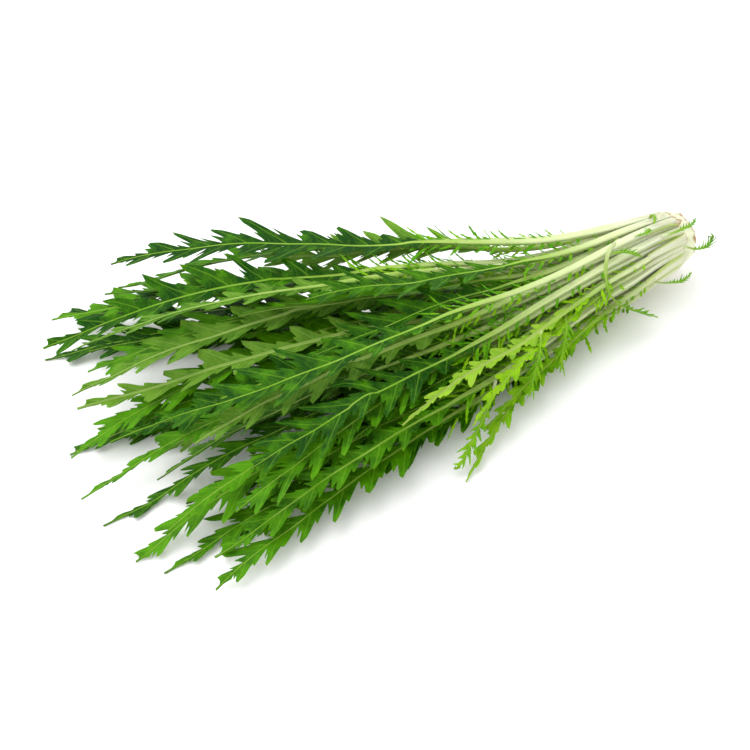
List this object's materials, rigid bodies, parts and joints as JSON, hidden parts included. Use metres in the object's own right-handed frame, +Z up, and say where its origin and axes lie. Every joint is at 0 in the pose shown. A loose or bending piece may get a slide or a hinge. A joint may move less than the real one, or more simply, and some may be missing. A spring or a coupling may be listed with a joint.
{
  "type": "mizuna head",
  "caption": "Head of leafy greens cut at the root and lying on its side: slim pale stalks fan out from a small crown into long, deeply lobed leaves.",
  "frame": {"origin": "on the table, under the middle of the head's bounding box", "axes": "+X runs from the leaf tips to the cut crown, +Z is up from the table"},
  "size_m": [0.4138, 0.2598, 0.0766],
  "materials": {
    "crown": "dry, fibrous",
    "leaf": "waxy, half matt",
    "young_leaf": "waxy, half matt"
  },
  "bodies": {
    "root": {"crown": "crown", "leaf_0_0": "leaf", "leaf_0_2": "leaf", "leaf_1_0": "leaf", "leaf_1_1": "leaf", "leaf_1_2": "leaf", "leaf_1_3": "leaf", "leaf_1_4": "leaf", "leaf_2_1": "leaf", "leaf_2_2": "leaf", "leaf_2_3": "leaf", "leaf_2_4": "leaf", "leaf_2_5": "leaf", "leaf_2_6": "leaf", "leaf_3_0": "leaf", "leaf_3_1": "leaf", "leaf_3_2": "leaf", "leaf_3_3": "leaf", "leaf_3_4": "leaf", "leaf_3_5": "leaf", "leaf_3_6": "leaf", "leaf_4_1": "leaf", "leaf_4_2": "leaf", "leaf_4_3": "leaf", "leaf_4_4": "leaf", "leaf_4_5": "leaf", "leaf_4_6": "leaf", "leaf_4_7": "leaf", "leaf_5_0": "leaf", "leaf_5_1": "leaf", "leaf_5_2": "leaf", "leaf_5_3": "leaf", "leaf_5_4": "leaf", "leaf_5_5": "leaf", "leaf_5_6": "leaf", "leaf_6_1": "leaf", "leaf_6_2": "leaf", "leaf_6_3": "leaf", "leaf_6_4": "leaf", "leaf_6_5": "leaf", "leaf_6_6": "leaf", "leaf_7_1": "leaf", "leaf_7_2": "leaf", "leaf_7_3": "leaf", "leaf_7_4": "leaf", "leaf_7_5": "leaf", "leaf_7_6": "leaf", "leaf_8_0": "leaf", "leaf_8_1": "leaf", "leaf_8_2": "leaf", "leaf_8_3": "leaf", "leaf_8_4": "leaf", "leaf_9_0": "leaf", "leaf_9_1": "leaf", "leaf_9_2": "leaf", "resting_leaf": "leaf", "young_leaf_2": "young_leaf", "young_leaf_4": "young_leaf", "young_leaf_6": "young_leaf", "young_leaf_7": "young_leaf"}
  },
  "joints": []
}
